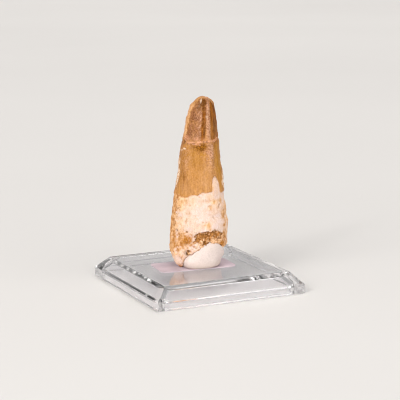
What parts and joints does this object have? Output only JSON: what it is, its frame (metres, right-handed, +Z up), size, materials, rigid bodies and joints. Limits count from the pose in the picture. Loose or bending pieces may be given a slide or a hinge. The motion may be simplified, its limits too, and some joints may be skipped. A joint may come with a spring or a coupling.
{
  "type": "spinosaurus tooth on display base",
  "caption": "Fossil conical tooth with amber crown and broken pale root, stood upright in putty on a labelled, bevelled clear plastic display base.",
  "frame": {"origin": "centre of the base's underside", "axes": "+Z up; X and Y along the base's edges; the tooth's broad face is turned 25.94 degrees from -Y towards -X"},
  "size_m": [0.05, 0.05, 0.0598],
  "materials": {
    "fossil_tooth": "amber enamel with satin sheen over pale chalky dentine, sandy matrix at the root",
    "white_putty": "smooth matte off-white putty",
    "blank_paper": "uncoated white paper, blank",
    "clear_plastic": "clear moulded polystyrene, polished, with fine scratches"
  },
  "bodies": {
    "root": {"tooth": "fossil_tooth", "putty": "white_putty", "label": "blank_paper", "display_base": "clear_plastic"}
  },
  "joints": []
}
